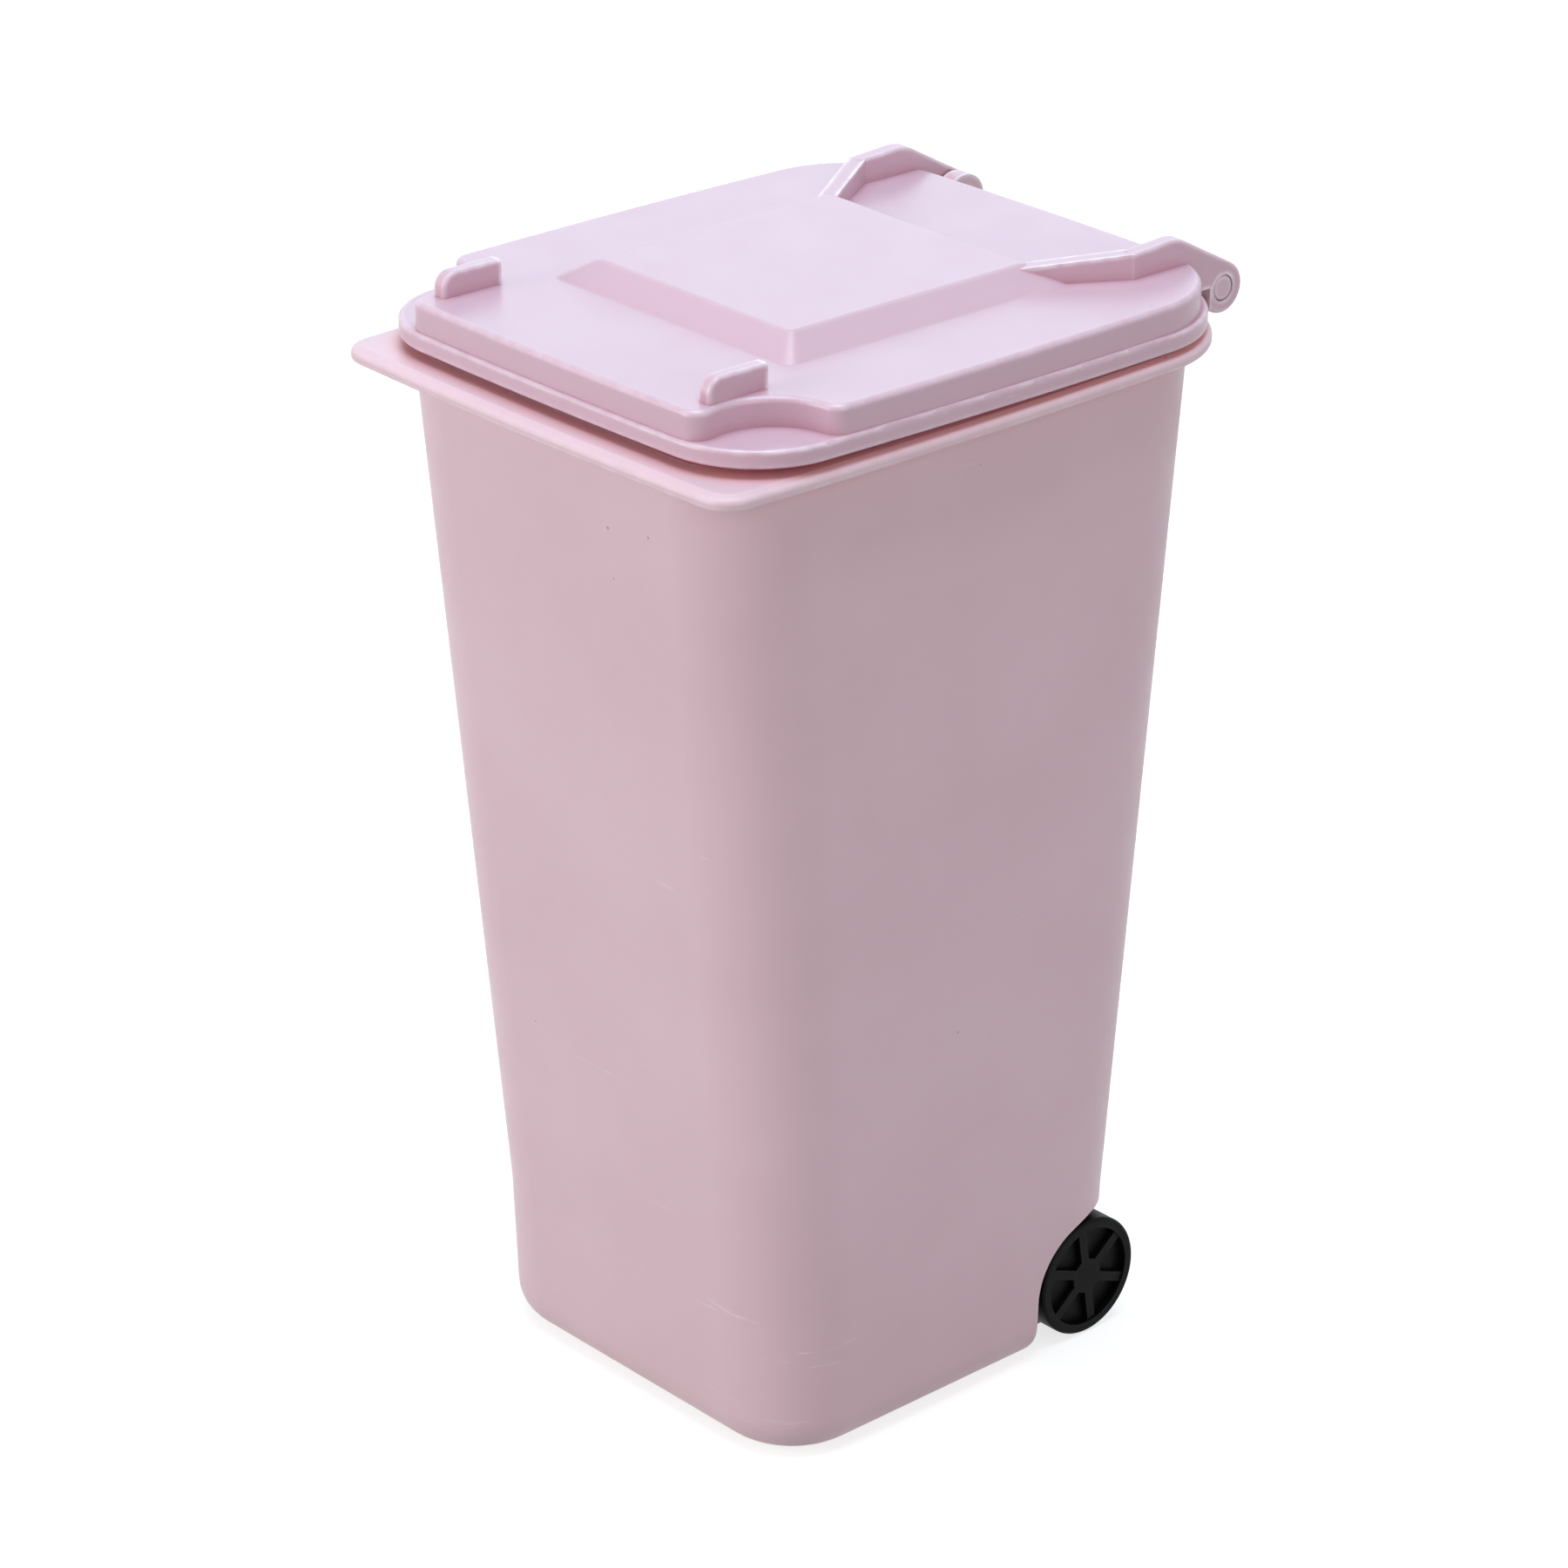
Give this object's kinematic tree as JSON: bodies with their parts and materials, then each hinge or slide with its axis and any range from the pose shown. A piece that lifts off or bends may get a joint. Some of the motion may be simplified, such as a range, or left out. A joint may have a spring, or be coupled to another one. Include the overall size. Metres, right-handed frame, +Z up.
{
  "type": "mini wheelie bin",
  "caption": "Desk-size wheelie bin: tapered tub with a flat overhanging rim, a domed lid hinged on rear arms, and spoked wheels on an axle set into the rear corners.",
  "frame": {"origin": "middle of the tub's flat underside, on the surface the bin stands on", "axes": "+Z up, the bin's front faces -Y, the hinge and the wheels are at +Y, +X is the bin's right side as seen in the picture"},
  "size_m": [0.08, 0.1038, 0.1611],
  "materials": {
    "pink_plastic": "satin moulded polypropylene, pale pink",
    "black_plastic": "black moulded plastic, slightly glossy",
    "axle_steel": "plain steel rod"
  },
  "bodies": {
    "tub": {"tub": "pink_plastic", "hinge_pin_left": "pink_plastic", "hinge_pin_right": "pink_plastic"},
    "lid": {"lid": "pink_plastic"},
    "wheelset": {"axle": "axle_steel", "wheel_left": "black_plastic", "wheel_right": "black_plastic"}
  },
  "joints": [
    {"name": "lid_hinge", "type": "hinge", "parent": "tub", "child": "lid", "pos_m": [0, 0.0505, 0.1518], "axis": [-1, 0, 0], "range_deg": [0, 235]},
    {"name": "wheel_spin", "type": "hinge", "parent": "tub", "child": "wheelset", "pos_m": [0, 0.0258, 0.0092], "axis": [1, 0, 0], "continuous": true}
  ]
}
